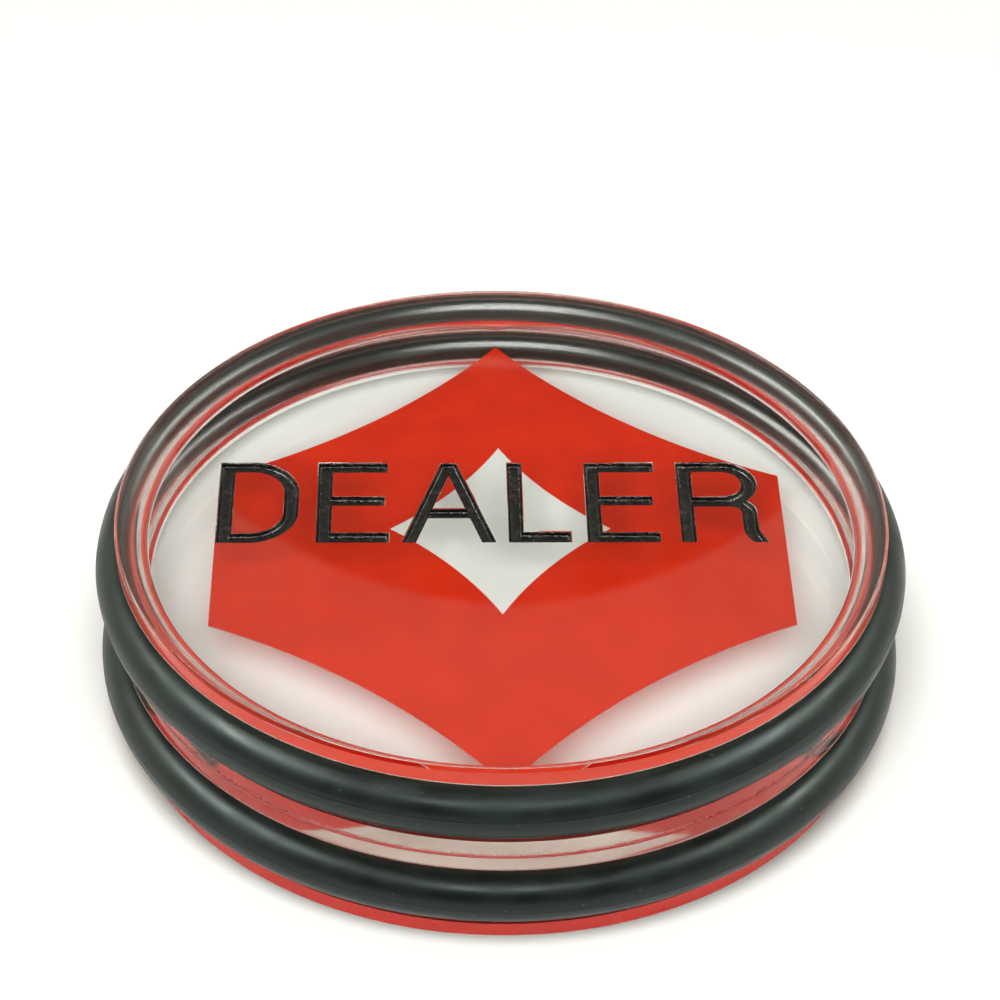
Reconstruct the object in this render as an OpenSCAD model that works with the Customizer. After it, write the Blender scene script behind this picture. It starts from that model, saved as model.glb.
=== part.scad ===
// Dealer button: two clear discs bonded round an opaque print, with a rubber
// O-ring in a half-round groove round each disc and the word DEALER cut and
// paint-filled in both outer faces.
// Millimetres. Origin at the centre of the lower face, +Z up through the
// upper face, +Y towards the top of the upper face's letters.

/* [Discs] */
// Diameter of the two clear discs
disc_d = 72; // [68:0.5:90]
// Height of the whole button, face to face
total_h = 20; // [19:0.1:24]
// Chamfer round the edge of each outer face
face_chamfer = 0.3; // [0.1:0.05:0.6]
// Chamfer round the edge of each bonded face
joint_chamfer = 0.15; // [0.05:0.05:0.3]

/* [Grooves and O-rings] */
// Height of each groove's centre above the outer face of its own disc
groove_z = 5; // [4.6:0.1:5.4]
// Radius of the half-round groove, centred on the disc's rim
groove_r = 3.05; // [2.8:0.05:3.2]
// Chamfer on both lips of a groove
lip_chamfer = 0.25; // [0.1:0.05:0.35]
// Section diameter of an O-ring
ring_section = 5; // [4.2:0.1:5.2]
// Running gap between an O-ring and the bottom of its groove
ring_gap = 0.05; // [0.02:0.01:0.1]

/* [Print] */
// Thickness of the white middle layer of the print
white_t = 0.12; // [0.05:0.01:0.2]
// Thickness of each red layer of the print
red_t = 0.06; // [0.03:0.01:0.1]
// Width of the red six-sided badge across its two upright sides
emblem_w = 54; // [44:0.5:56]
// Height of the red badge, tip to tip
emblem_h = 64.5; // [54:0.5:66]
// Length of each upright side of the badge
emblem_side = 22; // [12:0.5:24]
// How far each sloping side of the badge bows inwards
emblem_bow = 2.2; // [1:0.1:3]
// Width of the white card-suit diamond shown in the badge, tip to tip
window_w = 21; // [12:0.5:26]
// Height of the white diamond, tip to tip
window_h = 25; // [14:0.5:30]
// How far each side of the white diamond bows inwards
window_bow = 0.9; // [0.4:0.1:1.5]
// Offset of the white diamond towards +Y
window_shift = 3; // [-4:0.5:4]

/* [Lettering] */
// Height of the capitals
letter_h = 12.1; // [11:0.1:13]
// Width of a cut stroke
stroke = 1.5; // [1.2:0.05:1.7]
// Depth of the cut
letter_depth = 0.8; // [0.4:0.05:1.2]
// Sideways offset of the upper word from the disc's centre
upper_shift_x = -0.9; // [-2:0.05:2]
// Offset of the upper word towards +Y
upper_shift_y = 0.95; // [-2:0.05:2]
// Sideways offset of the lower word from the disc's centre
lower_shift_x = -0.5; // [-2:0.05:2]
// Offset of the lower word towards +Y
lower_shift_y = 0.95; // [-2:0.05:2]
// Thickness of the paint on the floor of the cut
paint_t = 0.3; // [0.1:0.05:0.35]

/* [Hidden] */
$fn = 96;
fit_gap = 0.01;                            // between two bonded pieces
overshoot = 1;                             // how far a cut runs past a surface
disc_r = disc_d / 2;
stack_t = white_t + 2 * red_t;             // the print, from red to red
disc_t = (total_h - stack_t) / 2;          // thickness of one disc
z_low = disc_t;                            // lower disc's bonded face
z_high = total_h - disc_t;                 // upper disc's bonded face
bond_inset = 0.05;                         // adhesive stops short of the chamfer
bond_r = disc_r - joint_chamfer - bond_inset;
ring_r = ring_section / 2;
ring_path_r = disc_r - groove_r + ring_gap + ring_r; // ring's centre line

clear_color = [0.93, 0.94, 0.92, 0.3];
bond_color = [0.95, 0.95, 0.93, 0.25];
white_color = [0.93, 0.93, 0.95];
red_color = [0.8, 0.07, 0.03];
rubber_color = [0.1, 0.12, 0.11];
paint_color = [0.03, 0.03, 0.03];

// Letter shapes are sized for capitals 12.1 high and scaled from there
cap_scale = letter_h / 12.1;
d_w = 7.6 * cap_scale;
e_w = 6.85 * cap_scale;
a_w = 8.9 * cap_scale;
l_w = 5.9 * cap_scale;
r_w = 8.15 * cap_scale;
letter_w = [d_w, e_w, a_w, l_w, e_w, r_w];
// optically even gaps, each to the left of its letter
gap_before = cap_scale * [0, 1.6, 1.05, 1.0, 1.4, 1.85];

// left edge of letter i, counted from 1
function letter_x(i) =
    i == 1 ? 0 : letter_x(i - 1) + letter_w[i - 2] + gap_before[i - 1];
word_w = letter_x(6) + r_w;

// ---- capitals, drawn with their lower left corner at the origin -----------
// inset pulls every edge of a letter in, so that paint clears the cut it fills

module bar(x, y, w, h, inset) {
    translate([x + inset, y + inset]) square([w - 2 * inset, h - 2 * inset]);
}

module glyph_d(inset) {
    corner_r = 4.6 * cap_scale;
    corner_x = d_w - corner_r;             // centre of both corner arcs
    corner_ys = [corner_r, letter_h - corner_r];
    side_h = letter_h - 2 * corner_r;      // straight part of the right side
    inner_h = letter_h - 2 * stroke + 2 * inset;
    lap = 1;                               // overlap of the solid parts
    cut_lap = 0.5;                         // overlap of the counter's parts
    difference() {
        union() {
            bar(0, 0, corner_x, letter_h, inset);
            bar(corner_x - lap, corner_r, corner_r + lap, side_h, inset);
            for (y = corner_ys)
                intersection() {
                    translate([corner_x, y]) circle(corner_r - inset);
                    translate([corner_x - lap, 0]) square([corner_r + lap, letter_h]);
                }
            // laps over the seams between the arcs and the bar joining them
            translate([corner_x - lap, corner_r - cut_lap])
                square([corner_r, side_h + 2 * cut_lap]);
            // full-height strip over the seam between the left bar and the arcs
            translate([corner_x - 2 * lap, inset])
                square([2 * lap, letter_h - 2 * inset]);
        }
        // counter: left part, right part, corners, strip over their seam
        translate([stroke - inset, stroke - inset])
            square([corner_x - stroke + inset, inner_h]);
        translate([corner_x - cut_lap, corner_r])
            square([corner_r - stroke + inset + cut_lap, side_h]);
        for (y = corner_ys)
            intersection() {
                translate([corner_x, y]) circle(corner_r - stroke + inset);
                translate([corner_x - cut_lap, 0]) square([corner_r + lap, letter_h]);
            }
        translate([corner_x - cut_lap, stroke - inset]) square([cut_lap, inner_h]);
    }
}

module glyph_e(inset) {
    middle_y = 5.5 * cap_scale;
    middle_w = e_w - 0.45 * cap_scale;
    top_w = e_w - 0.2 * cap_scale;
    top_h = stroke + 0.05;
    bottom_h = stroke + 0.1;
    bar(0, 0, stroke, letter_h, inset);
    bar(0, 0, e_w, bottom_h, inset);
    bar(0, middle_y, middle_w, stroke, inset);
    bar(0, letter_h - top_h, top_w, top_h, inset);
}

module glyph_a(inset) {
    foot_half = a_w / 2;
    top_half = stroke / 2;
    slope = (foot_half - top_half) / letter_h; // sideways run per unit of height
    side_inset = inset * sqrt(1 + slope * slope);
    leg_w = 1.42 * cap_scale;              // measured along the base line
    inner_half = foot_half - leg_w;
    low_y = inset;
    high_y = letter_h - inset;
    crossbar_y = 3.6 * cap_scale;
    under_y = crossbar_y + inset;
    over_y = crossbar_y + stroke - inset;
    // half-widths at height y, to the outside and the inside of the legs
    function outer_x(y) = foot_half - side_inset - slope * y;
    function inner_x(y) = inner_half + side_inset - slope * y;
    translate([foot_half, 0])
        difference() {
            polygon([[-outer_x(low_y), low_y], [-outer_x(high_y), high_y],
                     [outer_x(high_y), high_y], [outer_x(low_y), low_y]]);
            // gap between the feet, started just below the base line
            polygon([[-inner_x(0), -0.01], [inner_x(0), -0.01],
                     [inner_x(under_y), under_y], [-inner_x(under_y), under_y]]);
            // counter above the crossbar
            polygon([[-inner_x(over_y), over_y], [inner_x(over_y), over_y],
                     [0, inner_x(0) / slope]]);
        }
}

module glyph_l(inset) {
    foot_h = stroke + 0.15;
    bar(0, 0, stroke, letter_h, inset);
    bar(0, 0, l_w, foot_h, inset);
}

module glyph_r(inset) {
    bar_y = 5.3 * cap_scale;               // underside of the middle bar
    bar_h = stroke + 0.05;
    bowl_x = 4.2 * cap_scale;              // centre of the bowl
    bowl_r = (letter_h - bar_y) / 2;       // outside of the bowl
    counter_h = letter_h - bar_y - bar_h - stroke;
    turn_x = 4.95 * cap_scale;             // where the leg turns down
    turn_r = 0.9 * cap_scale;
    turn_y = bar_y - turn_r;
    leg_x = turn_x + turn_r;               // left side of the leg
    foot_x = 9.0 * cap_scale;              // centre of the flick at the foot
    foot_y = 2.2 * cap_scale;
    flick_r = foot_x - leg_x;              // outside of the flick
    reach = 10 * cap_scale;                // wider than the letter
    lap = 1;                               // overlap of the solid parts
    cut_lap = 0.3;                         // overlap of the counter's parts
    difference() {
        union() {
            bar(0, 0, stroke, letter_h, inset);
            bar(0, bar_y, bowl_x + 2 * inset, letter_h - bar_y, inset);
            // bowl
            intersection() {
                translate([bowl_x, bar_y + bowl_r]) circle(bowl_r - inset);
                translate([bowl_x - lap, 0]) square([reach, letter_h]);
            }
            bar(bowl_x - lap, bar_y, turn_x - bowl_x + lap + 2 * inset, bar_h, inset);
            // quarter turn from the bar into the leg
            translate([turn_x, turn_y])
                intersection() {
                    difference() {
                        circle(turn_r + stroke - inset);
                        circle(turn_r + inset);
                    }
                    square([reach, reach]);
                }
            // straight part of the leg
            translate([leg_x + inset, foot_y])
                square([stroke - 2 * inset, turn_y - foot_y]);
            // flick at the foot
            intersection() {
                translate([foot_x, foot_y])
                    difference() {
                        circle(flick_r - inset);
                        circle(flick_r - stroke + inset);
                    }
                translate([0, inset]) square([r_w - inset, foot_y - inset]);
            }
        }
        // counter
        translate([stroke - inset, bar_y + bar_h - inset])
            square([bowl_x - stroke + inset, counter_h + 2 * inset]);
        intersection() {
            translate([bowl_x, bar_y + bar_h + counter_h / 2])
                circle(counter_h / 2 + inset);
            translate([bowl_x - cut_lap, 0]) square([reach, letter_h]);
        }
    }
}

// letter i of the word, with the word's lower left corner at the origin
module glyph(i, inset) {
    translate([letter_x(i), 0]) {
        if (i == 1) glyph_d(inset);
        if (i == 2 || i == 5) glyph_e(inset);
        if (i == 3) glyph_a(inset);
        if (i == 4) glyph_l(inset);
        if (i == 6) glyph_r(inset);
    }
}

// one letter in its place on the upper face, seen from above
module upper_glyph(i, inset = 0) {
    translate([upper_shift_x - word_w / 2, upper_shift_y - letter_h / 2])
        glyph(i, inset);
}

// one letter in its place on the lower face, mirrored as seen from above
module lower_glyph(i, inset = 0) {
    translate([lower_shift_x + word_w / 2, lower_shift_y - letter_h / 2])
        mirror([1, 0]) glyph(i, inset);
}

// paint lies on the floor of the cut
module upper_paint(i) {
    color(paint_color)
        translate([0, 0, total_h - letter_depth + fit_gap])
            linear_extrude(paint_t) upper_glyph(i, fit_gap);
}

module lower_paint(i) {
    color(paint_color)
        translate([0, 0, letter_depth - fit_gap - paint_t])
            linear_extrude(paint_t) lower_glyph(i, fit_gap);
}

// ---- clear discs -----------------------------------------------------------

// half section of one disc, outer face at z = 0 and bonded face at z = disc_t
module disc_section() {
    lip_lap = 0.1; // how far a lip cut runs into the groove
    lip_x = disc_r - lip_chamfer - lip_lap;
    lip_y = groove_r - lip_lap;
    difference() {
        polygon([[0, 0], [disc_r - face_chamfer, 0], [disc_r, face_chamfer],
                 [disc_r, disc_t - joint_chamfer],
                 [disc_r - joint_chamfer, disc_t], [0, disc_t]]);
        translate([disc_r, groove_z]) circle(groove_r);
        // chamfers on the groove's two lips
        for (side = [-1, 1])
            polygon([[disc_r + overshoot,
                      groove_z + side * (groove_r + lip_chamfer + overshoot)],
                     [lip_x, groove_z + side * lip_y],
                     [disc_r + overshoot, groove_z + side * lip_y]]);
    }
}

module upper_disc() {
    color(clear_color)
        difference() {
            translate([0, 0, total_h]) mirror([0, 0, 1])
                rotate_extrude() disc_section();
            for (i = [1 : 6])
                translate([0, 0, total_h - letter_depth])
                    linear_extrude(letter_depth + overshoot) upper_glyph(i);
        }
}

module lower_disc() {
    color(clear_color)
        difference() {
            rotate_extrude() disc_section();
            for (i = [1 : 6])
                translate([0, 0, -overshoot])
                    linear_extrude(letter_depth + overshoot) lower_glyph(i);
        }
}

// ---- print between the discs ----------------------------------------------

// four circles that hollow the sloping sides of an outline: each side runs from
// (half_w, corner_y) to (0, tip_y) and is mirrored into the other quadrants;
// the outline grows outwards by grow
module side_circles(half_w, corner_y, tip_y, bow, grow = 0) {
    rise = tip_y - corner_y;
    chord = sqrt(half_w * half_w + rise * rise);
    arc_r = (chord * chord / 4 + bow * bow) / (2 * bow);
    // from the middle of the chord, square to it, to the circle's centre
    offset_x = rise / chord * (arc_r - bow);
    offset_y = half_w / chord * (arc_r - bow);
    for (side_x = [-1, 1], side_y = [-1, 1])
        translate([side_x * (half_w / 2 + offset_x),
                   side_y * ((tip_y + corner_y) / 2 + offset_y)])
            circle(arc_r - grow);
}

// card-suit diamond with hollow sides
module window() {
    half_w = window_w / 2;
    half_h = window_h / 2;
    translate([0, window_shift])
        difference() {
            polygon([[half_w, 0], [0, half_h], [-half_w, 0], [0, -half_h]]);
            side_circles(half_w, 0, half_h, window_bow);
        }
}

// six-sided badge: two upright sides and four hollow sloping ones that meet in
// a tip at the top and at the bottom
module badge(grow = 0) {
    half_w = emblem_w / 2;
    half_h = emblem_h / 2;
    half_side = emblem_side / 2;
    // blank a little larger than the badge; the four arcs give its outline
    blank_x = half_w + grow;
    blank_side = half_side + overshoot;
    blank_tip = half_h + overshoot;
    difference() {
        polygon([[blank_x, -blank_side], [blank_x, blank_side], [0, blank_tip],
                 [-blank_x, blank_side], [-blank_x, -blank_side], [0, -blank_tip]]);
        side_circles(half_w, half_side, half_h, emblem_bow, grow);
    }
}

// adhesive round the badge
module bond_layer() {
    color(bond_color)
        translate([0, 0, z_low])
            linear_extrude(stack_t)
                difference() {
                    circle(bond_r);
                    badge(fit_gap);
                }
}

module emblem_white_core() {
    color(white_color)
        translate([0, 0, z_low + red_t])
            linear_extrude(white_t) badge();
}

module red_layer() {
    color(red_color)
        linear_extrude(red_t)
            difference() {
                badge();
                window();
            }
}

module emblem_red_upper() {
    translate([0, 0, z_high - red_t]) red_layer();
}

module emblem_red_lower() {
    translate([0, 0, z_low]) red_layer();
}

// ---- O-rings ---------------------------------------------------------------

module o_ring(z) {
    color(rubber_color)
        translate([0, 0, z])
            rotate_extrude() translate([ring_path_r, 0]) circle(ring_r);
}

module upper_o_ring() { o_ring(total_h - groove_z); }
module lower_o_ring() { o_ring(groove_z); }

// ---- nodes -----------------------------------------------------------------

upper_disc();
lower_disc();
bond_layer();
emblem_white_core();
emblem_red_upper();
emblem_red_lower();
upper_o_ring();
lower_o_ring();
upper_paint(1);  // upper_letter_1_d
upper_paint(2);  // upper_letter_2_e
upper_paint(3);  // upper_letter_3_a
upper_paint(4);  // upper_letter_4_l
upper_paint(5);  // upper_letter_5_e
upper_paint(6);  // upper_letter_6_r
lower_paint(1);  // lower_letter_1_d
lower_paint(2);  // lower_letter_2_e
lower_paint(3);  // lower_letter_3_a
lower_paint(4);  // lower_letter_4_l
lower_paint(5);  // lower_letter_5_e
lower_paint(6);  // lower_letter_6_r
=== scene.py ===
"""A round clear puck of two acrylic discs with a printed emblem bonded between them.

The puck lies flat, its axis on +Z and its underside at z = 0. Each disc has the word "dealer"
cut into its outer face and painted black, and a rubber O-ring in a groove round its rim.
The camera looks down from -Y. Sizes of the pieces are in millimetres until new_object scales
them; the floor, lights and camera are in metres.
"""
import math
import random

import bmesh
import bpy
import numpy as np
from mathutils import Matrix, Vector
from mathutils.geometry import delaunay_2d_cdt


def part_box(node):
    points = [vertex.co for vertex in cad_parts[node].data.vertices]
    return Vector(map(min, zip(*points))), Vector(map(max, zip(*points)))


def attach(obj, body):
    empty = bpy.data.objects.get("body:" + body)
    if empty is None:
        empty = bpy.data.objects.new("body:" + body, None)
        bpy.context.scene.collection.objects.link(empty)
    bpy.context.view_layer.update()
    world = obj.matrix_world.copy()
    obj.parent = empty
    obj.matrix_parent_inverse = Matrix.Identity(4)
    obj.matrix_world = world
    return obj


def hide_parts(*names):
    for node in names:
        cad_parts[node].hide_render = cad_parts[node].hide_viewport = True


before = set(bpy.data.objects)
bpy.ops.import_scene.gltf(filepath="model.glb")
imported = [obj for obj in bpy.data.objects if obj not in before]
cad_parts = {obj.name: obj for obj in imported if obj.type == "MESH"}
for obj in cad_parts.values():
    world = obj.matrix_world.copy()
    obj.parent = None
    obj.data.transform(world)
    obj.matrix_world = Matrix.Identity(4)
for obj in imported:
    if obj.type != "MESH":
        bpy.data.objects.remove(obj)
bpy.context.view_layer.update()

MM = 0.001
TO_MM = 1 / MM

# ---------------------------------------------------------------------------
# sizes, in millimetres
# ---------------------------------------------------------------------------


def cad(piece):
    """Low and high corner of a CAD piece."""
    low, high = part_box(piece)
    return [c / MM for c in low], [c / MM for c in high]


upper_low, upper_high = cad("upper_disc")
RADIUS = round(upper_high[0], 2)
HEIGHT = round(upper_high[2], 3)
Z_HIGH = round(upper_low[2], 3)             # upper disc's bonded face
Z_LOW = round(cad("lower_disc")[1][2], 3)   # lower disc's bonded face
DISC_THICK = Z_LOW
BOND_RADIUS = round(cad("bond_layer")[1][0], 2)
FACE_GAP = 0.0002         # keeps the outer faces a hair inside the CAD box
SEGMENTS = 512            # round the discs, the bond and the rings

ring_low, ring_high = cad("upper_o_ring")
RING_R = round(ring_high[2] - ring_low[2], 2) / 2       # radius of the rubber section
ring_low, ring_high = cad("lower_o_ring")
RING_PATH_R = round(ring_high[0], 2) - RING_R           # radius of the section's centre line
GROOVE_Z = round((ring_high[2] + ring_low[2]) / 2, 2)   # groove centre from its disc's face
GROOVE_R = RADIUS - (RING_PATH_R - RING_R) + 0.05       # section radius, centred on the rim
GROOVE_STEPS = 30

FACE_CHAMFER, JOINT_CHAMFER, LIP_CHAMFER = 0.30, 0.15, 0.25
FACE_EASE, JOINT_EASE = 0.02, 0.01          # rounding of the chamfers' corners

# emblem: straight left and right sides, and four hollow sides meeting at top and bottom
BADGE_W, BADGE_H, BADGE_SIDE, BADGE_BOW = 54.0, 64.5, 22.0, 2.2
# four-cornered window in the red layers, moved towards +Y
WINDOW_W, WINDOW_H, WINDOW_BOW, WINDOW_SHIFT = 21.0, 25.0, 0.9, 3.0
BOW_STEPS = 48
PRINT_GAP = 0.008         # between printed layers and their neighbours
BADGE_GAP = 0.02          # between the emblem and the bond round it

CAP_H, STROKE = 12.1, 1.5
D_WIDTH, E_WIDTH, A_WIDTH, L_WIDTH, R_WIDTH = 7.6, 6.85, 8.9, 5.9, 8.15
WORD_MARGIN = 0.01        # the word starts this far outside its CAD letters
CUT_DEPTH = 0.8
LIP_INSET, LIP_DEPTH = 0.035, 0.05          # thin bright lip round each cut
FLOOR_INSET = 0.43

# ---------------------------------------------------------------------------
# outlines and mesh tools
# ---------------------------------------------------------------------------


def from_face(face, depth, gap=0.0):
    """Height of a point at this depth below a disc's outer face."""
    return HEIGHT - gap - depth if face == "upper" else depth + gap


def circle(radius):
    turns = [2 * math.pi * i / SEGMENTS for i in range(SEGMENTS)]
    return [(radius * math.cos(a), radius * math.sin(a)) for a in turns]


def arc(cx, cy, radius, start, end, steps):
    angles = [math.radians(start + (end - start) * i / steps) for i in range(steps + 1)]
    return [(cx + radius * math.cos(a), cy + radius * math.sin(a)) for a in angles]


def without_repeats(loop, least=1e-5):
    out = []
    for p in loop:
        if not out or math.dist(p, out[-1]) > least:
            out.append(p)
    if math.dist(out[0], out[-1]) <= least:
        out.pop()
    return out


def inset(loop, distance):
    """Every side moved to the left of the walking direction, with mitred corners."""
    count = len(loop)
    out = []
    for i in range(count):
        before, here, after = (np.array(loop[j % count]) for j in (i - 1, i, i + 1))
        way_in = (here - before) / np.linalg.norm(here - before)
        way_out = (after - here) / np.linalg.norm(after - here)
        mitre = np.array([-way_in[1], way_in[0]]) + np.array([-way_out[1], way_out[0]])
        mitre /= max(1e-9, (mitre @ mitre) / 2)
        out.append(tuple(here + mitre * distance))
    return out


def inside(point, loop):
    x, y = point
    hit = False
    for (x0, y0), (x1, y1) in zip(loop, loop[1:] + loop[:1]):
        if (y0 > y) != (y1 > y) and x < x0 + (y - y0) * (x1 - x0) / (y1 - y0):
            hit = not hit
    return hit


def in_region(point, loops):
    """Inside the first loop and outside the others."""
    return inside(point, loops[0]) and not any(inside(point, hole) for hole in loops[1:])


def fill(bm, verts, loops, slot=0, keep=None):
    """Triangles between the loops whose centres keep() accepts; by default the first loop is
    the outline and the others are holes. verts run through the loops in order."""
    keep = keep or (lambda point: in_region(point, loops))
    points, edges = [], []
    for loop in loops:
        base = len(points)
        points += [Vector(p) for p in loop]
        edges += [(base + i, base + (i + 1) % len(loop)) for i in range(len(loop))]
    made, _, faces, origins, _, _ = delaunay_2d_cdt(points, edges, [], 0, 1e-7)
    for face in faces:
        centre = sum((made[i] for i in face), Vector((0, 0))) / len(face)
        if keep((centre.x, centre.y)):
            bm.faces.new([verts[origins[i][0]] for i in face]).material_index = slot


def ring_of_verts(bm, loop, z):
    return [bm.verts.new((x, y, z)) for x, y in loop]


def band(bm, ring_a, ring_b, slot=0):
    """Quads between two closed rings of vertices."""
    for i in range(len(ring_a)):
        j = (i + 1) % len(ring_a)
        bm.faces.new((ring_a[i], ring_a[j], ring_b[j], ring_b[i])).material_index = slot


def new_object(name, bm, materials, sharp_angle):
    bmesh.ops.recalc_face_normals(bm, faces=bm.faces)
    mesh = bpy.data.meshes.new(name)
    bm.to_mesh(mesh)
    bm.free()
    mesh.transform(Matrix.Scale(MM, 4))
    for material in materials:
        mesh.materials.append(material)
    ob = bpy.data.objects.new(name, mesh)
    bpy.context.scene.collection.objects.link(ob)
    mesh.shade_smooth()
    mesh.set_sharp_from_angle(angle=math.radians(sharp_angle))
    return ob


def hand_over(ob, carrier, replaced):
    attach(ob, carrier)
    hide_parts(replaced)


# ---------------------------------------------------------------------------
# capitals: each is an outline and its holes, with the stroke on the left of
# the walking direction
# ---------------------------------------------------------------------------


def glyph_d():
    bow_r = 4.6
    hole_r = bow_r - STROKE
    bow_x, bow_top = D_WIDTH - bow_r, CAP_H - bow_r
    outer = [(0, 0)] + arc(bow_x, bow_r, bow_r, -90, 0, 18)
    outer += arc(bow_x, bow_top, bow_r, 0, 90, 18) + [(0, CAP_H)]
    hole = [(STROKE, STROKE), (STROKE, CAP_H - STROKE)]
    hole += arc(bow_x, bow_top, hole_r, 90, 0, 18) + arc(bow_x, bow_r, hole_r, 0, -90, 18)
    return [outer, hole]


def glyph_e():
    foot_top = STROKE + 0.1
    middle = 5.5                            # underside of the middle arm
    middle_end, top_end = E_WIDTH - 0.45, E_WIDTH - 0.2
    arm_under = CAP_H - STROKE - 0.05       # underside of the top arm
    return [[(0, 0), (E_WIDTH, 0), (E_WIDTH, foot_top), (STROKE, foot_top),
             (STROKE, middle), (middle_end, middle),
             (middle_end, middle + STROKE), (STROKE, middle + STROKE),
             (STROKE, arm_under), (top_end, arm_under), (top_end, CAP_H), (0, CAP_H)]]


def glyph_a():
    half, top = A_WIDTH / 2, STROKE / 2
    slope = (half - top) / CAP_H
    foot = half - 1.42                      # inner edge of a leg at the base line
    bar = 3.6                               # underside of the crossbar
    bar_top = bar + STROKE
    outer = [(-half, 0), (-foot, 0), (-foot + slope * bar, bar), (foot - slope * bar, bar),
             (foot, 0), (half, 0), (top, CAP_H), (-top, CAP_H)]
    hole = [(-foot + slope * bar_top, bar_top), (0, foot / slope),
            (foot - slope * bar_top, bar_top)]
    return [[(x + half, y) for x, y in loop] for loop in (outer, hole)]


def glyph_l():
    foot_top = STROKE + 0.15
    return [[(0, 0), (L_WIDTH, 0), (L_WIDTH, foot_top), (STROKE, foot_top),
             (STROKE, CAP_H), (0, CAP_H)]]


def glyph_r():
    bowl_base, bowl_bar = 5.3, STROKE + 0.05    # underside and thickness of the bowl's bar
    bowl_x, bowl_r = 4.2, (CAP_H - bowl_base) / 2
    bowl_y = bowl_base + bowl_r
    # the leg turns down out of the bar, then sweeps out to its foot
    turn_x, turn_r = 4.95, 0.9
    turn_y = bowl_base - turn_r
    turn_outer_r = turn_r + STROKE
    sweep_x, sweep_y = 9.0, 2.2
    sweep_r = sweep_x - turn_x - turn_r
    sweep_end = 180 + math.degrees(math.asin(sweep_y / sweep_r))
    foot_x, foot_y, foot_r, foot_start = 8.2, 2.3, 2.417, 206

    outer = [(0, 0), (STROKE, 0), (STROKE, bowl_base)] + arc(turn_x, turn_y, turn_r, 90, 0, 10)
    outer += arc(sweep_x, sweep_y, sweep_r, 180, sweep_end, 8) + [(foot_x, 0)]
    outer += arc(turn_x + turn_r + STROKE + foot_r, foot_y, foot_r, foot_start, 180, 6)
    # crossing of the leg's outer turn with the bowl
    apart = math.dist((turn_x, turn_y), (bowl_x, bowl_y))
    along = (turn_outer_r * turn_outer_r - bowl_r * bowl_r + apart * apart) / (2 * apart)
    across = math.sqrt(turn_outer_r * turn_outer_r - along * along)
    ux, uy = (bowl_x - turn_x) / apart, (bowl_y - turn_y) / apart
    meet_x, meet_y = turn_x + along * ux + across * uy, turn_y + along * uy - across * ux
    turn_end = math.degrees(math.atan2(meet_y - turn_y, meet_x - turn_x))
    bowl_start = math.degrees(math.atan2(meet_y - bowl_y, meet_x - bowl_x))
    outer += arc(turn_x, turn_y, turn_outer_r, 0, turn_end, 8)
    outer += arc(bowl_x, bowl_y, bowl_r, bowl_start, 90, 20)[1:] + [(0, CAP_H)]

    hole_r = (CAP_H - bowl_base - bowl_bar - STROKE) / 2
    hole = [(STROKE, bowl_base + bowl_bar), (STROKE, CAP_H - STROKE)]
    hole += arc(bowl_x, bowl_base + bowl_bar + hole_r, hole_r, 90, -90, 20)
    return [outer, hole]


# letter, outline, width, gap to the next letter
LETTERS = [
    ("1_d", glyph_d, D_WIDTH, 1.6),
    ("2_e", glyph_e, E_WIDTH, 1.05),
    ("3_a", glyph_a, A_WIDTH, 1.0),
    ("4_l", glyph_l, L_WIDTH, 1.4),
    ("5_e", glyph_e, E_WIDTH, 1.85),
    ("6_r", glyph_r, R_WIDTH, 0.0),
]


def place_word(face):
    """{letter: loops} in x and y; the lower word is mirrored, to be read from below."""
    low, high = cad(f"{face}_letter_1_d")
    side, start = (1, low[0] - WORD_MARGIN) if face == "upper" else (-1, high[0] + WORD_MARGIN)
    base = low[1] - WORD_MARGIN
    word = {}
    pen = 0.0
    for name, glyph, width, gap in LETTERS:
        loops = [without_repeats(loop) for loop in glyph()]
        word[name] = [[(start + side * pen + side * x, base + y) for x, y in loop][::side]
                      for loop in loops]
        pen = pen + width + gap
    return word


# ---------------------------------------------------------------------------
# shader helpers
# ---------------------------------------------------------------------------
BLACK = (0.0, 0.0, 0.0)


def feed(tree, target, inputs):
    """Link nodes and sockets to the target's inputs, and set plain values."""
    for key, value in inputs.items():
        if isinstance(value, bpy.types.Node):
            value = value.outputs[0]
        if isinstance(value, bpy.types.NodeSocket):
            tree.links.new(value, target.inputs[key])
        else:
            target.inputs[key].default_value = value


def node(tree, kind, inputs=None, **settings):
    made = tree.nodes.new("ShaderNode" + kind)
    for key, value in settings.items():
        setattr(made, key, value)
    feed(tree, made, inputs or {})
    return made


def new_material(name):
    material = bpy.data.materials.new(name)
    material.use_nodes = True
    tree = material.node_tree
    tree.nodes.clear()
    return material, tree, node(tree, "OutputMaterial")


def rgba(color):
    return (*color, 1.0) if isinstance(color, tuple) else color


def calc(tree, operation, *values, clamp=False):
    inputs = dict(enumerate(values))
    return node(tree, "Math", inputs, operation=operation, use_clamp=clamp).outputs[0]


def object_mm(tree):
    """Object position in millimetres."""
    place = node(tree, "TexCoord").outputs["Object"]
    return node(tree, "VectorMath", {0: place, 1: (TO_MM,) * 3}, operation="MULTIPLY").outputs[0]


def turned_mm(tree, around, section):
    """Coordinates for lathe marks: slow round the part, quick along its section."""
    place = node(tree, "TexCoord").outputs["Object"]
    x, y, z = node(tree, "SeparateXYZ", {0: place}).outputs
    radius = calc(tree, "SQRT", calc(tree, "MULTIPLY_ADD", y, y, calc(tree, "MULTIPLY", x, x)))
    return node(tree, "CombineXYZ", {
        0: calc(tree, "MULTIPLY", x, TO_MM * around),
        1: calc(tree, "MULTIPLY", y, TO_MM * around),
        2: calc(tree, "MULTIPLY", calc(tree, "ADD", radius, z), TO_MM * section),
    }).outputs[0]


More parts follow.
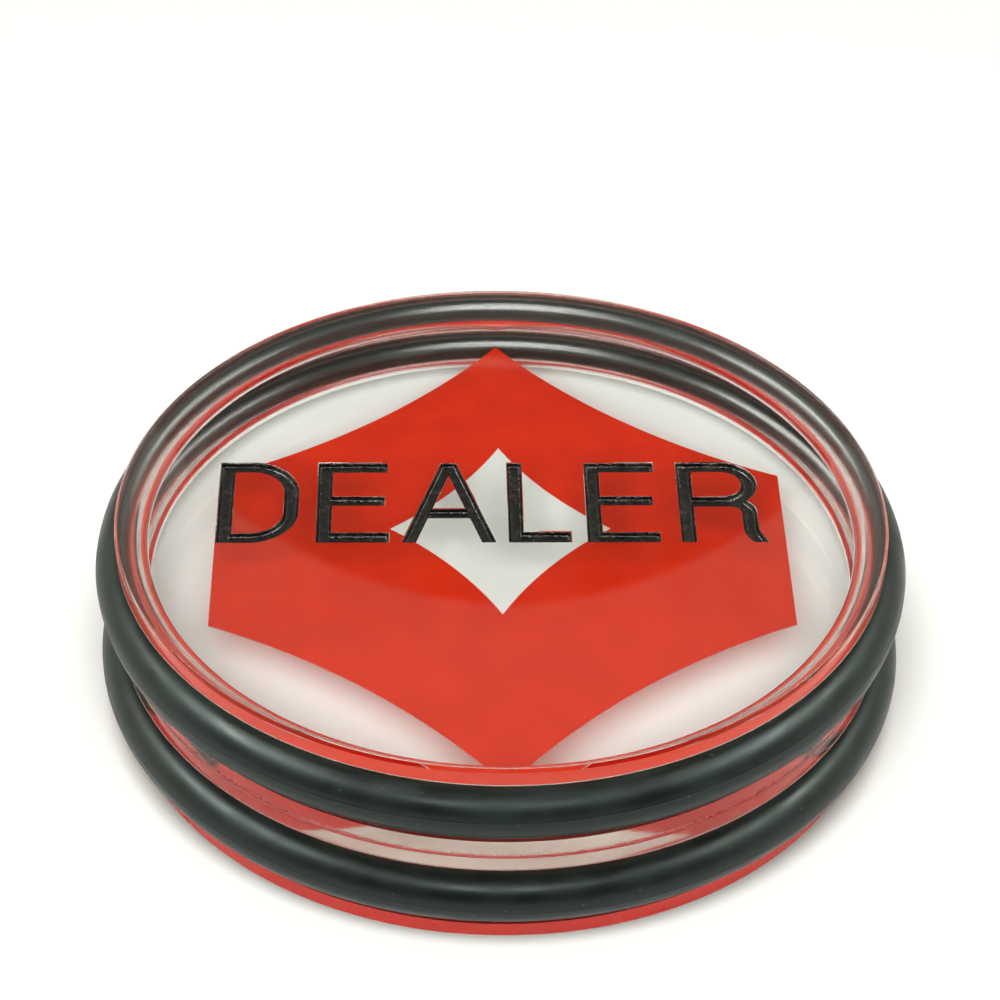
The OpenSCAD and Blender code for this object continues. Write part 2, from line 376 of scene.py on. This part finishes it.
def noise(tree, vector, scale, detail=2.0, roughness=0.5):
    return node(tree, "TexNoise", {"Scale": scale, "Detail": detail, "Roughness": roughness,
                                   "Vector": vector}).outputs["Fac"]


def remap(tree, value, span, to, interpolation="LINEAR"):
    return node(tree, "MapRange", {"From Min": span[0], "From Max": span[1], "To Min": to[0],
                                   "To Max": to[1], "Value": value},
                interpolation_type=interpolation).outputs["Result"]


def bump(tree, height, distance_mm, strength, under=None):
    inputs = {"Distance": distance_mm * MM, "Strength": strength, "Height": height}
    if under is not None:
        inputs["Normal"] = under
    return node(tree, "Bump", inputs).outputs[0]


def mix_color(tree, factor, first, second):
    inputs = {0: factor, 6: rgba(first), 7: rgba(second)}
    return node(tree, "Mix", inputs, data_type="RGBA").outputs[2]


def opaque(tree, roughness, ior, specular):
    return node(tree, "BsdfPrincipled",
                {"Roughness": roughness, "IOR": ior, "Specular IOR Level": specular})


def acrylic(tree, color, roughness):
    return node(tree, "BsdfPrincipled", {"Base Color": rgba(color), "Roughness": roughness,
                                         "IOR": 1.49, "Transmission Weight": 1.0})


def clear_surface(tree, output, glass):
    """Shadow and diffuse rays go straight through, less the surface losses; everything the eye
    sees through the piece is refracted."""
    path = node(tree, "LightPath")
    straight = calc(tree, "MAXIMUM", path.outputs["Is Shadow Ray"],
                    path.outputs["Is Diffuse Ray"])
    through = node(tree, "BsdfTransparent", {0: (0.953, 0.977, 0.960, 1)})
    feed(tree, output,
         {"Surface": node(tree, "MixShader", {0: straight, 1: glass, 2: through})})


# ---------------------------------------------------------------------------
# materials
# ---------------------------------------------------------------------------


def acrylic_face():
    """Polished, with a very faint handling haze."""
    material, tree, output = new_material("acrylic_polished_face")
    glass = acrylic(tree, color=(1.0, 1.0, 0.995), roughness=0.0)
    haze = noise(tree, object_mm(tree), scale=0.12, detail=3.0, roughness=0.6)
    wave = noise(tree, object_mm(tree), scale=0.05, detail=1.0)
    feed(tree, glass, {"Roughness": remap(tree, haze, span=(0.45, 0.8), to=(0.0, 0.035)),
                       "Normal": bump(tree, wave, distance_mm=0.02, strength=0.5)})
    clear_surface(tree, output, glass)
    return material


def acrylic_rim():
    material, tree, output = new_material("acrylic_turned_rim")
    glass = acrylic(tree, color=(0.99, 0.955, 0.90), roughness=0.05)
    marks = turned_mm(tree, around=0.02, section=6.0)
    lines = noise(tree, marks, scale=1.0, detail=4.0, roughness=0.65)
    patches = noise(tree, object_mm(tree), scale=0.35)
    feed(tree, glass, {"Specular Tint": (1.0, 0.84, 0.70, 1),
                       "Roughness": remap(tree, patches, span=(0.35, 0.7), to=(0.02, 0.12)),
                       "Normal": bump(tree, lines, distance_mm=0.0028, strength=0.5)})
    clear_surface(tree, output, glass)
    return material


def acrylic_groove():
    material, tree, output = new_material("acrylic_turned_groove")
    glass = acrylic(tree, color=(0.97, 0.96, 0.95), roughness=0.16)
    marks = turned_mm(tree, around=0.03, section=4.0)
    lines = noise(tree, marks, scale=1.0, detail=4.0, roughness=0.6)
    feed(tree, glass, {"Roughness": remap(tree, lines, span=(0.3, 0.7), to=(0.10, 0.26)),
                       "Normal": bump(tree, lines, distance_mm=0.0035, strength=0.5)})
    clear_surface(tree, output, glass)
    return material


def acrylic_edge(name, tint, dark_share):
    """Broken corner, left matt by the tool, with dark_share of a dark diffuse mixed in; on the
    groove lips that dark is painted shade.
    """
    material, tree, output = new_material(name)
    glass = acrylic(tree, color=tint, roughness=0.45)
    dark_diffuse = node(tree, "BsdfDiffuse", {"Color": (0.030, 0.012, 0.009, 1)})
    clear_surface(tree, output, node(tree, "MixShader", {0: dark_share, 1: glass, 2: dark_diffuse}))
    return material


def bonded_face():
    """A clear face that is bonded or painted over: light goes straight on."""
    material, tree, output = new_material("bonded_face")
    feed(tree, output, {"Surface": node(tree, "BsdfTransparent")})
    return material


def adhesive_edge():
    material, tree, output = new_material("adhesive_edge")
    glass = acrylic(tree, color=(0.95, 0.93, 0.90), roughness=0.3)
    patches = noise(tree, object_mm(tree), scale=1.2, detail=3.0)
    feed(tree, glass, {"Roughness": remap(tree, patches, span=(0.3, 0.7), to=(0.15, 0.5))})
    clear_surface(tree, output, glass)
    return material


def print_surface(tree, output, color, grain, glow, passes):
    """Thin screen ink: it glows when lit from behind, and what passes through it tints the
    shadow."""
    ink = opaque(tree, roughness=0.25, ior=1.45, specular=0.5)
    path = node(tree, "LightPath")
    # only part of the ink's own bounce reaches the table, so the clear fields stay white
    dimming = calc(tree, "MULTIPLY", path.outputs["Is Diffuse Ray"], 0.7)
    feed(tree, ink, {"Base Color": mix_color(tree, dimming, color, BLACK),
                     "Normal": bump(tree, grain, distance_mm=0.003, strength=0.5)})
    # the glow shows only on the front of faces that look down
    geometry = node(tree, "NewGeometry")
    normal_z = node(tree, "SeparateXYZ", {0: geometry.outputs["Normal"]}).outputs[2]
    down = calc(tree, "LESS_THAN", normal_z, -0.5)
    lit = calc(tree, "SUBTRACT", down, geometry.outputs["Backfacing"], clamp=True)
    backlight = node(tree, "BsdfTranslucent", {0: mix_color(tree, lit, BLACK, glow)})
    seen = node(tree, "AddShader", {0: ink, 1: backlight})
    through = node(tree, "BsdfTransparent", {0: rgba(passes)})
    feed(tree, output, {"Surface": node(tree, "MixShader", {
        0: path.outputs["Is Shadow Ray"], 1: seen, 2: through})})


def red_print():
    material, tree, output = new_material("red_screen_print")
    place = object_mm(tree)
    tone = noise(tree, place, scale=0.25, detail=3.0)
    grain = noise(tree, place, scale=9.0)
    color = mix_color(tree, remap(tree, tone, span=(0.35, 0.65), to=(0.0, 1.0)),
                      first=(0.56, 0.016, 0.0002), second=(0.62, 0.020, 0.0003))
    color = mix_color(tree, remap(tree, grain, span=(0.72, 0.8), to=(0.0, 0.35)),
                      first=color, second=(0.34, 0.004, 0.001))
    print_surface(tree, output, color, grain, glow=(0.82, 0.035, 0.0), passes=(0.76, 0.12, 0.018))
    return material


def white_print():
    material, tree, output = new_material("white_screen_print")
    place = object_mm(tree)
    tone = noise(tree, place, scale=0.3, detail=3.0)
    color = mix_color(tree, tone, first=(0.66, 0.66, 0.65), second=(0.71, 0.71, 0.70))
    grain = noise(tree, place, scale=8.0)
    print_surface(tree, output, color, grain, glow=(0.40, 0.395, 0.38), passes=(0.86, 0.86, 0.84))
    return material


def black_paint():
    material, tree, output = new_material("black_engraving_paint")
    paint = opaque(tree, roughness=0.15, ior=1.5, specular=0.5)
    place = object_mm(tree)
    blot = noise(tree, place, scale=1.3, detail=4.0, roughness=0.6)
    fine = noise(tree, place, scale=3.2, roughness=0.6)
    # the brown in the blots is painted reflection of the red print; the same blots also vary
    # roughness and bump
    color = mix_color(tree, remap(tree, blot, span=(0.5, 0.75), to=(0.0, 1.0)),
                      first=(0.0030, 0.0032, 0.0031), second=(0.024, 0.015, 0.012))
    coarse = bump(tree, blot, distance_mm=0.16, strength=0.7)
    feed(tree, paint, {"Base Color": color,
                       "Roughness": remap(tree, blot, span=(0.35, 0.7), to=(0.07, 0.34)),
                       "Normal": bump(tree, fine, distance_mm=0.05, strength=0.7, under=coarse)})
    feed(tree, output, {"Surface": paint})
    return material


def nitrile_rubber():
    """Clouded along the ring, with a few pale specks."""
    material, tree, output = new_material("nitrile_rubber")
    skin = opaque(tree, roughness=0.30, ior=1.5, specular=0.35)
    place = object_mm(tree)
    around = turned_mm(tree, around=0.25, section=1.3)
    cloud = noise(tree, around, scale=0.8, roughness=0.6)
    fine = noise(tree, place, scale=6.0, detail=3.0, roughness=0.6)
    specks = noise(tree, place, scale=2.1, detail=0.0)
    color = mix_color(tree, remap(tree, cloud, span=(0.35, 0.7), to=(0.0, 1.0)),
                      first=(0.0036, 0.0058, 0.0050), second=(0.0078, 0.0124, 0.0106))
    color = mix_color(tree, remap(tree, specks, span=(0.83, 0.86), to=(0.0, 0.35)),
                      first=color, second=(0.10, 0.12, 0.10))
    coarse = bump(tree, cloud, distance_mm=0.02, strength=0.4)
    feed(tree, skin, {"Specular Tint": (0.84, 1.0, 0.97, 1),
                      "Base Color": color,
                      "Roughness": remap(tree, cloud, span=(0.3, 0.7), to=(0.31, 0.50)),
                      "Normal": bump(tree, fine, distance_mm=0.007, strength=0.6, under=coarse)})
    feed(tree, output, {"Surface": skin})
    return material


polished = acrylic_face()
turned_rim = acrylic_rim()
turned_groove = acrylic_groove()
bonded = bonded_face()
broken_edge = acrylic_edge("acrylic_broken_edge", tint=(0.92, 0.87, 0.83), dark_share=0.15)
# the groove lips are darkened by painted shade where the rubber ring sits against them
shaded_lip = acrylic_edge("acrylic_lip_painted_shade", tint=(0.60, 0.36, 0.30), dark_share=0.72)
glue_edge = adhesive_edge()
red_ink = red_print()
white_ink = white_print()
letter_paint = black_paint()
rubber = nitrile_rubber()

# ---------------------------------------------------------------------------
# clear discs
# ---------------------------------------------------------------------------
DISC_MATERIALS = [polished, turned_rim, turned_groove, bonded, bonded, broken_edge, shaded_lip]
FACE, RIM, GROOVE, BONDED, PAINTED, EDGE, LIP = range(len(DISC_MATERIALS))


def disc_profile():
    """(radius, depth below the outer face, slot of the band that follows)."""
    lip_half = GROOVE_R + LIP_CHAMFER       # half the groove's width at the rim
    # a 45 degree lip from the rim meets the groove's arc this far in
    b, c = -2 * lip_half, lip_half * lip_half - GROOVE_R * GROOVE_R
    meet_in = (-b - math.sqrt(b * b - 8 * c)) / 4
    meet_half = lip_half - meet_in
    points = [
        (RADIUS - FACE_CHAMFER - FACE_EASE, 0.0, RIM),
        (RADIUS - FACE_CHAMFER + 2 * FACE_EASE, FACE_EASE, RIM),
        (RADIUS - FACE_EASE, FACE_CHAMFER - 2 * FACE_EASE, RIM),
        (RADIUS, FACE_CHAMFER + FACE_EASE, RIM),
        (RADIUS, GROOVE_Z - lip_half, LIP),
    ]
    start = math.atan2(-meet_half, -meet_in) + 2 * math.pi
    end = math.atan2(meet_half, -meet_in)
    for i in range(GROOVE_STEPS + 1):
        a = start + (end - start) * i / GROOVE_STEPS
        slot = GROOVE if 1 <= i < GROOVE_STEPS - 1 else LIP
        points.append((RADIUS + GROOVE_R * math.cos(a), GROOVE_Z + GROOVE_R * math.sin(a), slot))
    points += [
        (RADIUS, GROOVE_Z + lip_half, RIM),
        (RADIUS, DISC_THICK - JOINT_CHAMFER - JOINT_EASE, EDGE),
        (RADIUS - JOINT_CHAMFER, DISC_THICK, RIM),
        (BOND_RADIUS, DISC_THICK, BONDED),
    ]
    return points


def build_disc(face, word):
    def height(depth):
        return from_face(face, depth, FACE_GAP)

    bm = bmesh.new()
    profile = disc_profile()
    rings = [ring_of_verts(bm, circle(radius), height(depth)) for radius, depth, _ in profile]
    for (_, _, slot), ring_a, ring_b in zip(profile, rings, rings[1:]):
        band(bm, ring_a, ring_b, slot)
    fill(bm, rings[-1], [[(v.co.x, v.co.y) for v in rings[-1]]], BONDED)

    # outer face, left open where the letters are cut
    letter_loops = [(name, loop) for name, loops in word.items() for loop in loops]
    tops = [ring_of_verts(bm, loop, height(0)) for _, loop in letter_loops]
    fill(bm, rings[0] + [v for ring in tops for v in ring],
         [[(v.co.x, v.co.y) for v in rings[0]]] + [loop for _, loop in letter_loops], FACE,
         keep=lambda point: not any(in_region(point, loops) for loops in word.values()))

    # walls of the cuts: the thin lip, then the painted slope, then the floors
    floors = {}
    for (name, loop), ring in zip(letter_loops, tops):
        for distance, depth, slot in ((LIP_INSET, LIP_DEPTH, FACE),
                                      (FLOOR_INSET, CUT_DEPTH, PAINTED)):
            outline = inset(loop, distance)
            lower_ring = ring_of_verts(bm, outline, height(depth))
            band(bm, ring, lower_ring, slot)
            ring = lower_ring
        floors.setdefault(name, []).append((outline, ring))
    for parts in floors.values():
        fill(bm, [v for _, ring in parts for v in ring], [outline for outline, _ in parts],
             PAINTED)
    ob = new_object(f"{face}_disc_clear", bm, DISC_MATERIALS, sharp_angle=12)
    hand_over(ob, "puck", f"{face}_disc")


words = {face: place_word(face) for face in ("upper", "lower")}
for face, word in words.items():
    build_disc(face, word)

# ---------------------------------------------------------------------------
# paint in the cuts: a thin coat over the slopes and the floor
# ---------------------------------------------------------------------------
# (inset, depth): up the coat's back, over the lip and down its front to the floor
PAINT_PATH = [
    (0.44, CUT_DEPTH - 0.012), (0.052, 0.058),
    (0.062, 0.055), (0.095, 0.08), (0.17, 0.22), (0.215, 0.31),
    (0.265, 0.375), (0.33, 0.42), (0.40, 0.445), (0.45, 0.455),
]


def build_paint(face, name, loops):
    bm = bmesh.new()
    coats = [[ring_of_verts(bm, inset(loop, distance), from_face(face, depth))
              for distance, depth in PAINT_PATH] for loop in loops]
    for coat in coats:
        for ring_a, ring_b in zip(coat, coat[1:]):
            band(bm, ring_a, ring_b)
    for end in (0, -1):
        fill(bm, [v for coat in coats for v in coat[end]],
             [inset(loop, PAINT_PATH[end][0]) for loop in loops])
    ob = new_object(f"{face}_paint_{name}", bm, [letter_paint], sharp_angle=28)
    hand_over(ob, "puck", f"{face}_letter_{name}")


for face, word in words.items():
    for name, loops in word.items():
        build_paint(face, name, loops)

# ---------------------------------------------------------------------------
# print and adhesive between the discs
# ---------------------------------------------------------------------------


def bowed_side(start, end, bow, grow):
    """From start to end, bowed inwards by bow and moved outwards by grow."""
    (x0, y0), (x1, y1) = start, end
    chord = math.dist(start, end)
    out_x, out_y = (y1 - y0) / chord, -(x1 - x0) / chord
    if bow <= 0:
        return [(x0 + out_x * grow, y0 + out_y * grow), (x1 + out_x * grow, y1 + out_y * grow)]
    radius = (chord * chord / 4 + bow ** 2) / (2 * bow)
    cx = (x0 + x1) / 2 + out_x * (radius - bow)
    cy = (y0 + y1) / 2 + out_y * (radius - bow)
    a0, a1 = math.atan2(y0 - cy, x0 - cx), math.atan2(y1 - cy, x1 - cx)
    while a1 - a0 > math.pi:
        a1 -= 2 * math.pi
    while a0 - a1 > math.pi:
        a1 += 2 * math.pi
    angles = [a0 + (a1 - a0) * i / BOW_STEPS for i in range(BOW_STEPS + 1)]
    return [(cx + (radius - grow) * math.cos(a), cy + (radius - grow) * math.sin(a))
            for a in angles]


def hollow_loop(corners, bows, grow=0.0):
    """Anticlockwise outline with sharp corners; side i runs from corner i to the next."""
    sides = [bowed_side(corner, corners[(i + 1) % len(corners)], bows[i], grow)
             for i, corner in enumerate(corners)]
    out = []
    for i, side in enumerate(sides):
        # corner: the last piece of one side crossed with the first piece of the next
        (ax, ay), (bx, by) = sides[i - 1][-2:]
        (cx, cy), (dx, dy) = side[:2]
        cross = (bx - ax) * (dy - cy) - (by - ay) * (dx - cx)
        t = ((cx - ax) * (dy - cy) - (cy - ay) * (dx - cx)) / cross
        out.append((ax + t * (bx - ax), ay + t * (by - ay)))
        out += side[1:-1]
    return out


def badge_loop(grow=0.0):
    x, tip, side = BADGE_W / 2, BADGE_H / 2, BADGE_SIDE / 2
    corners = [(x, -side), (x, side), (0, tip), (-x, side), (-x, -side), (0, -tip)]
    return hollow_loop(corners, [0, BADGE_BOW, BADGE_BOW] * 2, grow)


def window_loop():
    x, y = WINDOW_W / 2, WINDOW_H / 2
    loop = hollow_loop([(x, 0), (0, y), (-x, 0), (0, -y)], [WINDOW_BOW] * 4)
    return [(px, py + WINDOW_SHIFT) for px, py in loop]


def slab(name, loops, z0, z1, materials):
    """Flat plate between two heights; the first loop is its outline, the others holes."""
    bm = bmesh.new()
    layers = [[ring_of_verts(bm, loop, z) for loop in loops] for z in (z0, z1)]
    for layer in layers:
        fill(bm, [v for ring in layer for v in ring], loops)
    for bottom, top in zip(*layers):
        band(bm, bottom, top)
    return new_object(name, bm, materials, sharp_angle=30)


def build_emblem():
    red_low, red_high = cad("emblem_red_upper")
    red_thick = red_high[2] - red_low[2]
    outline, window = badge_loop(), window_loop()[::-1]
    for name, z0, z1 in (
            ("upper", Z_HIGH - red_thick + PRINT_GAP, Z_HIGH - PRINT_GAP),
            ("lower", Z_LOW + PRINT_GAP, Z_LOW + red_thick - PRINT_GAP)):
        ob = slab(f"emblem_red_{name}_print", [outline, window], z0, z1, [red_ink])
        hand_over(ob, "puck", f"emblem_red_{name}")
    core = slab("emblem_white_core_print", [outline], Z_LOW + red_thick + PRINT_GAP,
                Z_HIGH - red_thick - PRINT_GAP, [white_ink])
    hand_over(core, "puck", "emblem_white_core")


def build_bond():
    bond = slab("bond_layer_clear", [circle(BOND_RADIUS), badge_loop(BADGE_GAP)[::-1]],
                Z_LOW + PRINT_GAP / 2, Z_HIGH - PRINT_GAP / 2, [bonded, glue_edge])
    # only the outer wall shows as glue
    wall_from = (BOND_RADIUS - 0.3) * MM
    for polygon in bond.data.polygons:
        centre = polygon.center
        if abs(polygon.normal.z) < 0.5 and math.hypot(centre.x, centre.y) > wall_from:
            polygon.material_index = 1
    hand_over(bond, "puck", "bond_layer")


build_emblem()
build_bond()

# ---------------------------------------------------------------------------
# O-rings: moulded section with a fine parting line that wanders where the
# ring was rolled into its groove
# ---------------------------------------------------------------------------
PARTING_ANGLES = [-0.10, -0.055, -0.03, -0.014, 0.0, 0.014, 0.03, 0.055, 0.10]
PLAIN_STEPS = 34                            # between one parting line's angles and the next
SLACK = 0.038                               # the section is this much under its radius
RIDGE_HEIGHT, RIDGE_WIDTH = 0.028, 0.022    # parting ridge: millimetres, radians
WOBBLE = 0.006


def section_angles():
    """Angles round the section, denser at the parting lines at 0 and pi."""
    angles = []
    for line in (0.0, math.pi):
        angles += [line + a for a in PARTING_ANGLES]
        start, end = line + PARTING_ANGLES[-1], line + math.pi + PARTING_ANGLES[0]
        angles += [start + (end - start) * i / PLAIN_STEPS for i in range(1, PLAIN_STEPS)]
    return angles


def from_zero(angle):
    """Size of an angle, wrapped to at most pi."""
    return abs((angle + math.pi) % (2 * math.pi) - math.pi)


def build_ring(which, centre_z, seed):
    draw = random.Random(seed)
    phases = [draw.uniform(0, 2 * math.pi) for _ in range(4)]
    bm = bmesh.new()
    angles = section_angles()
    rows = []
    for i in range(SEGMENTS):
        turn = 2 * math.pi * i / SEGMENTS
        twist = (0.10 + 0.16 * math.sin(turn + phases[0]) + 0.07 * math.sin(2 * turn + phases[1])
                 + 0.03 * math.sin(5 * turn + phases[2]))
        row = []
        for angle in angles:
            off_line = min(from_zero(angle), from_zero(angle - math.pi))
            ridge = RIDGE_HEIGHT * math.exp(-(off_line / RIDGE_WIDTH) ** 2)
            wobble = WOBBLE * math.sin(7 * turn + phases[3]) * math.cos(2 * angle)
            r = RING_R - SLACK + ridge + wobble
            reach = RING_PATH_R + r * math.cos(angle + twist)
            row.append(bm.verts.new((reach * math.cos(turn), reach * math.sin(turn),
                                     centre_z + r * math.sin(angle + twist))))
        rows.append(row)
    for i, row in enumerate(rows):
        following = rows[(i + 1) % SEGMENTS]
        for j in range(len(angles)):
            k = (j + 1) % len(angles)
            bm.faces.new((row[j], following[j], following[k], row[k]))
    ob = new_object(f"{which}_o_ring_rubber", bm, [rubber], sharp_angle=60)
    hand_over(ob, f"{which}_ring", f"{which}_o_ring")


build_ring("upper", HEIGHT - GROOVE_Z, seed=11)
build_ring("lower", GROOVE_Z, seed=23)

# ---------------------------------------------------------------------------
# floor, in metres from here on
# ---------------------------------------------------------------------------
FLOOR_HALF = 4.0
FLOOR_Z = -0.00012


def floor_material():
    """Matt white; a glow that sets in well away from the puck evens it out to the horizon."""
    material, tree, output = new_material("studio_floor")
    place = node(tree, "TexCoord").outputs["Object"]
    distance = node(tree, "VectorMath", {0: place}, operation="LENGTH").outputs["Value"]
    glow = remap(tree, distance, span=(0.30, 1.10), to=(0.0, 0.75), interpolation="SMOOTHSTEP")
    matt = opaque(tree, roughness=0.9, ior=1.5, specular=0.0)
    feed(tree, matt, {"Base Color": (0.945, 0.95, 0.965, 1),
                      "Emission Color": (1.0, 0.995, 0.96, 1), "Emission Strength": glow})
    feed(tree, output, {"Surface": matt})
    return material


def build_floor():
    material = floor_material()
    mesh = bpy.data.meshes.new("floor")
    corners = [(-1, -1), (1, -1), (1, 1), (-1, 1)]
    mesh.from_pydata([(x * FLOOR_HALF, y * FLOOR_HALF, 0) for x, y in corners], [],
                     [(0, 1, 2, 3)])
    mesh.materials.append(material)
    floor = bpy.data.objects.new("floor", mesh)
    floor.location = (0, 0, FLOOR_Z)
    bpy.context.scene.collection.objects.link(floor)


build_floor()

# ---------------------------------------------------------------------------
# world: a soft tent, dark towards the camera at -Y, bright at the sides and
# dimmer behind and overhead
# ---------------------------------------------------------------------------
SIDE_LEVEL, FRONT_LEVEL, ROOF_LEVEL = 1.0, 0.05, 0.12
BACK_LEVEL = 0.5                            # share left towards +Y
# round opening in the back wall: degrees from +Y towards +X, degrees up, share of light left
OPENING_AZIMUTH, OPENING_ELEVATION, OPENING_LEVEL = 1.6, 32.3, 0.1
OPENING_OUTER, OPENING_INNER = 7.75, 7.55   # half angles of its soft edge, in degrees


def build_world():
    world = bpy.data.worlds.new("studio")
    bpy.context.scene.world = world
    world.use_nodes = True
    tree = world.node_tree
    tree.nodes.clear()
    direction = node(tree, "TexCoord").outputs["Generated"]

    def facing(toward):
        return node(tree, "VectorMath", {0: direction, 1: Vector(toward).normalized()},
                    operation="DOT_PRODUCT").outputs["Value"]

    def smooth(value, span, to):
        return remap(tree, value, span, to, interpolation="SMOOTHSTEP")

    up = node(tree, "SeparateXYZ", {0: direction}).outputs[2]
    front = smooth(facing((0, -1, 0)), span=(0.10, 0.62), to=(0.0, 1.0))
    below_roof = smooth(up, span=(0.72, 0.84), to=(1.0, 0.0))
    walls = calc(tree, "MULTIPLY_ADD", front, FRONT_LEVEL - SIDE_LEVEL, SIDE_LEVEL)
    roof = calc(tree, "MULTIPLY", calc(tree, "SUBTRACT", 1.0, below_roof), ROOF_LEVEL)
    tent = calc(tree, "ADD", calc(tree, "MULTIPLY", walls, below_roof), roof)
    azimuth = math.radians(OPENING_AZIMUTH)
    outside = smooth(
        facing((math.sin(azimuth), math.cos(azimuth), math.tan(math.radians(OPENING_ELEVATION)))),
        span=[math.cos(math.radians(a)) for a in (OPENING_OUTER, OPENING_INNER)], to=(1.0, 0.0))
    back = smooth(facing((0, 1, 0.35)), span=(0.70, 0.90), to=(1.0, BACK_LEVEL))
    opening = calc(tree, "MULTIPLY_ADD", outside, 1 - OPENING_LEVEL, OPENING_LEVEL)
    tent = calc(tree, "MULTIPLY", calc(tree, "MULTIPLY", tent, back), opening)
    background = node(tree, "Background", {0: (1.0, 0.985, 0.84, 1), 1: tent})
    node(tree, "OutputWorld", {0: background})


build_world()

# ---------------------------------------------------------------------------
# lights
# ---------------------------------------------------------------------------
LIGHT_COLOR = (1.0, 0.995, 0.945)
AIM = Vector((0, 0, 0.01))


def area_light(name, azimuth, elevation, distance, radiance, width, height=None):
    """Rectangle, or a disc if no height is given, turned towards the puck. Azimuth runs from -Y
    towards +X; both angles are in degrees."""
    light = bpy.data.lights.new(name, "AREA")
    light.size = width
    if height is None:
        light.shape = "DISK"
        surface = math.pi * width * width / 4
    else:
        light.shape = "RECTANGLE"
        light.size_y = height
        surface = width * height
    light.energy = radiance * math.pi * surface
    light.color = LIGHT_COLOR
    a, e = math.radians(azimuth), math.radians(elevation)
    place = (distance * math.sin(a) * math.cos(e), -distance * math.cos(a) * math.cos(e),
             distance * math.sin(e))
    ob = bpy.data.objects.new(name, light)
    ob.location = place
    ob.rotation_mode = "QUATERNION"
    ob.rotation_quaternion = (AIM - Vector(place)).to_track_quat("-Z", "Y")
    bpy.context.scene.collection.objects.link(ob)
    return ob


# lights the print and the floor without a glare of its own
softbox = area_light("overhead_softbox", azimuth=-6, elevation=64, distance=0.95,
                     radiance=14.0, width=0.52)
softbox.visible_glossy = False

# bars that only draw the highlights along rubber, rim and lettering:
# name, azimuth, elevation, width, height, radiance
BARS = [
    ("bar_left", -97, 52, 0.60, 0.18, 30.0),
    ("bar_right", 98, 52, 0.66, 0.18, 19.0),
    ("bar_front", 0, 60, 0.46, 0.13, 20.0),
]
for name, azimuth, elevation, width, height, radiance in BARS:
    bar = area_light(name, azimuth, elevation, 1.0, radiance, width, height)
    bar.visible_transmission = False
    bar.visible_diffuse = False

# ---------------------------------------------------------------------------
# camera: 24 cm in front and 21 cm up, long lens
# ---------------------------------------------------------------------------
CAMERA_PLACE = (0, -0.240778, 0.210056)
CAMERA_PITCH, CAMERA_YAW, CAMERA_ROLL = 0.6657869, -0.00069484, 0.01561369   # radians
CAMERA_TURN = math.radians(-1.6)            # swings the whole camera about the puck's axis
SENSOR_WIDTH, FOCAL_LENGTH = 36.0, 118.37304


def build_camera():
    pitch, yaw, roll = CAMERA_PITCH, CAMERA_YAW, CAMERA_ROLL
    forward = Vector((math.sin(yaw) * math.cos(pitch), math.cos(yaw) * math.cos(pitch),
                      -math.sin(pitch)))
    level = Vector((math.cos(yaw), -math.sin(yaw), 0))
    upright = level.cross(forward)
    right = math.cos(roll) * level + math.sin(roll) * upright
    up = -math.sin(roll) * level + math.cos(roll) * upright
    data = bpy.data.cameras.new("camera")
    data.sensor_width = SENSOR_WIDTH
    data.lens = FOCAL_LENGTH
    data.clip_start = 0.01
    data.clip_end = 20
    camera = bpy.data.objects.new("camera", data)
    bpy.context.scene.collection.objects.link(camera)
    basis = Matrix((right, up, -forward)).transposed().to_4x4()
    basis.translation = Vector(CAMERA_PLACE)
    camera.matrix_world = Matrix.Rotation(CAMERA_TURN, 4, "Z") @ basis
    bpy.context.scene.camera = camera


build_camera()

# ---------------------------------------------------------------------------
# render settings
# ---------------------------------------------------------------------------
scene = bpy.context.scene
scene.view_settings.view_transform = "Standard"
scene.view_settings.look = "None"
cycles = scene.cycles
cycles.max_bounces = 32
cycles.diffuse_bounces = 6
cycles.glossy_bounces = 16
cycles.transmission_bounces = 32
cycles.transparent_max_bounces = 64
cycles.caustics_reflective = False
cycles.caustics_refractive = False
cycles.blur_glossy = 0.0
cycles.sample_clamp_indirect = 6.0
cycles.use_denoising = True
